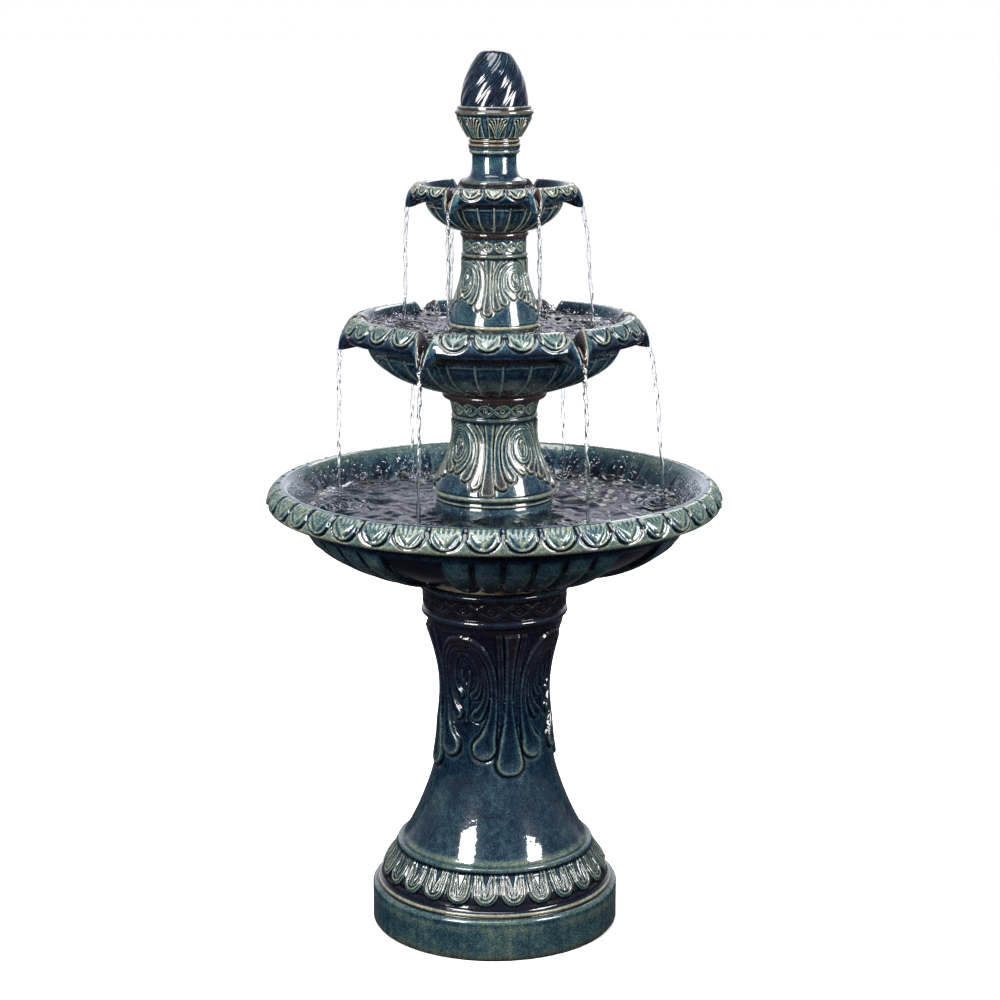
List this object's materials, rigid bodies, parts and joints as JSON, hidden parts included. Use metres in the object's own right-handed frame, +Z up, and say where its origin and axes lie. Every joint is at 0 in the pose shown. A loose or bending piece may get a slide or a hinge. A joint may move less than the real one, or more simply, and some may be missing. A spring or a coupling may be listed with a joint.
{
  "type": "tiered water fountain",
  "caption": "Tiered glazed stoneware fountain: pedestal, wide scalloped basin, spouted bowls on carved columns, spiral finial, recirculating pump inside.",
  "frame": {"origin": "centre of the pedestal's base, on the floor", "axes": "+Z up along the supply tube, -Y towards the front, +X to the viewer's right when facing the front"},
  "size_m": [0.5738, 0.5738, 1.12],
  "materials": {
    "glaze": "glossy reactive glaze over stoneware",
    "rubber": "matt",
    "vinyl": "clear flexible vinyl",
    "steel": "satin",
    "pump_plastic": "moulded",
    "sponge": "open-cell foam",
    "impeller_plastic": "moulded",
    "magnet": "sintered ferrite",
    "shaft_ceramic": "ground"
  },
  "bodies": {
    "pedestal": {"pedestal": "glaze"},
    "basin": {"basin": "glaze", "basin_stopper": "rubber", "supply_tube": "vinyl", "tube_clamp": "steel", "pump_housing": "pump_plastic", "motor_core": "steel", "rotor_can": "pump_plastic", "volute_cover": "pump_plastic", "intake_grille": "pump_plastic", "intake_sponge": "sponge", "pump_outlet": "pump_plastic", "impeller_shaft": "shaft_ceramic", "shaft_bushings": "rubber", "suction_cups": "rubber", "cord_gland": "rubber"},
    "rotor": {"impeller": "impeller_plastic", "rotor_magnet": "magnet"},
    "flow_dial": {"flow_dial": "pump_plastic"},
    "middle_tier": {"lower_column": "glaze", "middle_bowl": "glaze", "middle_grommet": "rubber"},
    "top_tier": {"upper_column": "glaze", "top_bowl": "glaze", "top_grommet": "rubber"},
    "crown": {"crown": "glaze"},
    "finial": {"finial": "glaze", "outlet_nozzle": "rubber"}
  },
  "joints": [
    {"name": "basin_lift", "type": "slide", "parent": "pedestal", "child": "basin", "axis": [0, 0, 1], "range_m": [0, 0.05]},
    {"name": "middle_tier_lift", "type": "slide", "parent": "basin", "child": "middle_tier", "axis": [0, 0, 1], "range_m": [0, 0.1]},
    {"name": "top_tier_lift", "type": "slide", "parent": "middle_tier", "child": "top_tier", "axis": [0, 0, 1], "range_m": [0, 0.1]},
    {"name": "crown_lift", "type": "slide", "parent": "top_tier", "child": "crown", "axis": [0, 0, 1], "range_m": [0, 0.08]},
    {"name": "finial_lift", "type": "slide", "parent": "crown", "child": "finial", "axis": [0, 0, 1], "range_m": [0, 0.05]},
    {"name": "impeller_spin", "type": "hinge", "parent": "basin", "child": "rotor", "pos_m": [0, 0, 0.506], "axis": [0, 1, 0], "continuous": true},
    {"name": "flow_dial_turn", "type": "hinge", "parent": "basin", "child": "flow_dial", "pos_m": [0, -0.027, 0.506], "axis": [0, 1, 0], "range_deg": [0, 90]}
  ]
}
